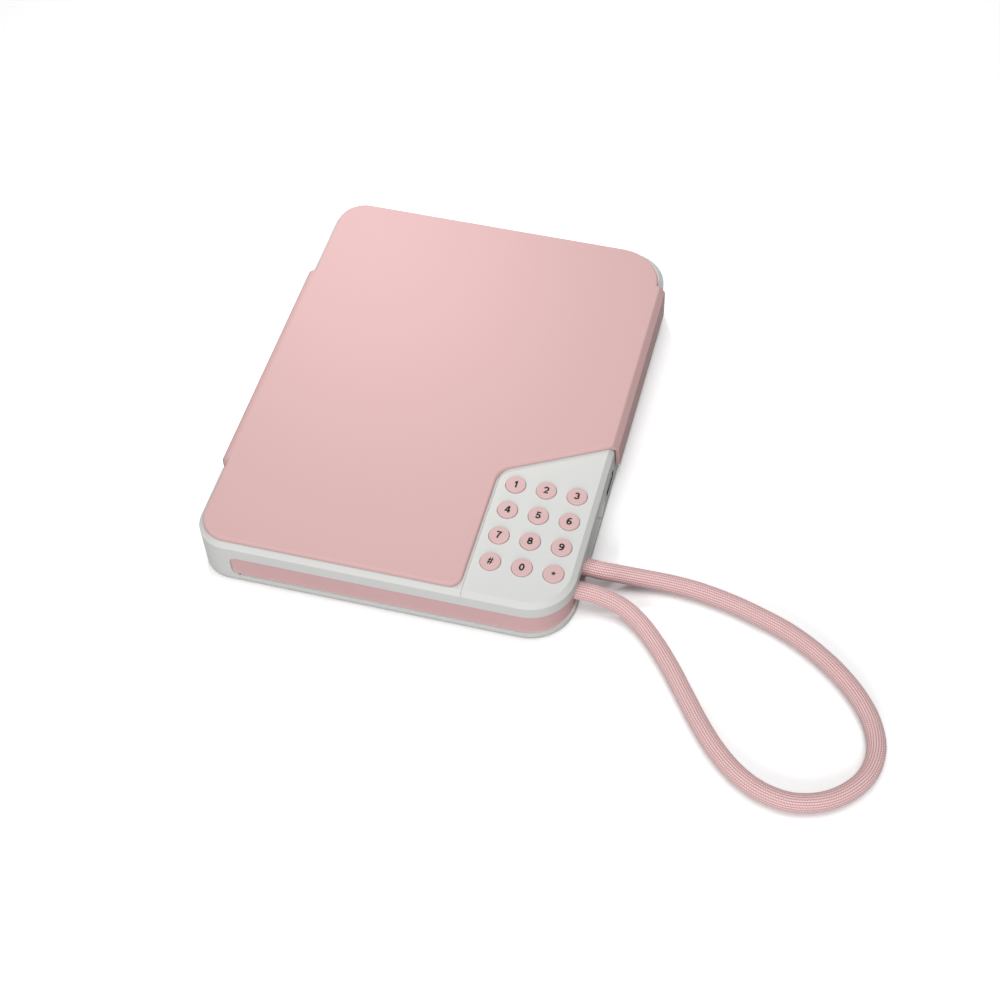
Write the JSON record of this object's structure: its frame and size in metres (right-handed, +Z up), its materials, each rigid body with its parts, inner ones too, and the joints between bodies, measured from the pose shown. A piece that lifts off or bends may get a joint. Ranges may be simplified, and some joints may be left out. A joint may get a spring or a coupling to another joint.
{
  "type": "electronic secret diary",
  "caption": "Electronic diary case with a hinged book-like lid, a keypad in the notched corner, a notebook well, a keepsake tray and a braided wrist rope.",
  "frame": {"origin": "on the surface the feet rest on, under the middle of the closed case", "axes": "+Z up, +Y from the front edge to the back edge, +X from the hinge side to the keypad side"},
  "size_m": [0.2667, 0.2345, 0.0228],
  "materials": {
    "shell_white": "fine matte moulded plastic",
    "band_pink": "matte moulded plastic",
    "lid_pink": "fine matte moulded plastic",
    "key_pink": "smooth matte plastic with dark printed signs",
    "silicone": "translucent moulded silicone",
    "board": "solder-masked circuit board",
    "port_metal": "plated steel shell",
    "cell_foil": "laminated pouch foil",
    "dark_plastic": "moulded plastic",
    "dark_steel": "lacquered steel",
    "steel": "plain bright steel",
    "liner_white": "matte moulded plastic",
    "notebook_card": "coated card with a leather grain",
    "paper": "uncoated paper block",
    "rope": "round braided polyester",
    "foot_rubber": "soft matte rubber"
  },
  "bodies": {
    "case": {"lower_shell": "shell_white", "upper_frame": "shell_white", "keypad_deck": "shell_white", "accent_band": "band_pink", "keypad_membrane": "silicone", "keypad_board": "board", "main_board": "board", "charge_port": "port_metal", "port_seal": "dark_plastic", "battery": "cell_foil", "speaker": "dark_plastic", "lock_solenoid": "dark_steel", "latch_spring": "steel", "hinge_pin": "steel", "notebook_cover": "notebook_card", "notebook_pages": "paper", "rope_anchor": "dark_plastic", "wrist_rope": "rope", "rubber_feet": "foot_rubber", "case_screws": "steel"},
    "lid": {"lid_cover": "lid_pink", "lid_liner": "liner_white", "lid_strike": "steel"},
    "latch": {"latch_bolt": "steel"},
    "key_1": {"key_1": "key_pink"},
    "key_2": {"key_2": "key_pink"},
    "key_3": {"key_3": "key_pink"},
    "key_4": {"key_4": "key_pink"},
    "key_5": {"key_5": "key_pink"},
    "key_6": {"key_6": "key_pink"},
    "key_7": {"key_7": "key_pink"},
    "key_8": {"key_8": "key_pink"},
    "key_9": {"key_9": "key_pink"},
    "key_hash": {"key_hash": "key_pink"},
    "key_0": {"key_0": "key_pink"},
    "key_star": {"key_star": "key_pink"}
  },
  "joints": [
    {"name": "lid_hinge", "type": "hinge", "parent": "case", "child": "lid", "pos_m": [-0.0693, -0.0025, 0.0183], "axis": [0, -1, 0], "range_deg": [0, 110]},
    {"name": "key_1_press", "type": "slide", "parent": "case", "child": "key_1", "axis": [0, 0, -1], "range_m": [0, 0.0008], "stiffness_N_per_m": 400},
    {"name": "key_2_press", "type": "slide", "parent": "case", "child": "key_2", "axis": [0, 0, -1], "range_m": [0, 0.0008], "stiffness_N_per_m": 400},
    {"name": "key_3_press", "type": "slide", "parent": "case", "child": "key_3", "axis": [0, 0, -1], "range_m": [0, 0.0008], "stiffness_N_per_m": 400},
    {"name": "key_4_press", "type": "slide", "parent": "case", "child": "key_4", "axis": [0, 0, -1], "range_m": [0, 0.0008], "stiffness_N_per_m": 400},
    {"name": "key_5_press", "type": "slide", "parent": "case", "child": "key_5", "axis": [0, 0, -1], "range_m": [0, 0.0008], "stiffness_N_per_m": 400},
    {"name": "key_6_press", "type": "slide", "parent": "case", "child": "key_6", "axis": [0, 0, -1], "range_m": [0, 0.0008], "stiffness_N_per_m": 400},
    {"name": "key_7_press", "type": "slide", "parent": "case", "child": "key_7", "axis": [0, 0, -1], "range_m": [0, 0.0008], "stiffness_N_per_m": 400},
    {"name": "key_8_press", "type": "slide", "parent": "case", "child": "key_8", "axis": [0, 0, -1], "range_m": [0, 0.0008], "stiffness_N_per_m": 400},
    {"name": "key_9_press", "type": "slide", "parent": "case", "child": "key_9", "axis": [0, 0, -1], "range_m": [0, 0.0008], "stiffness_N_per_m": 400},
    {"name": "key_hash_press", "type": "slide", "parent": "case", "child": "key_hash", "axis": [0, 0, -1], "range_m": [0, 0.0008], "stiffness_N_per_m": 400},
    {"name": "key_0_press", "type": "slide", "parent": "case", "child": "key_0", "axis": [0, 0, -1], "range_m": [0, 0.0008], "stiffness_N_per_m": 400},
    {"name": "key_star_press", "type": "slide", "parent": "case", "child": "key_star", "axis": [0, 0, -1], "range_m": [0, 0.0008], "stiffness_N_per_m": 400},
    {"name": "latch_slide", "type": "slide", "parent": "case", "child": "latch", "axis": [1, 0, 0], "range_m": [0, 0.004]}
  ]
}
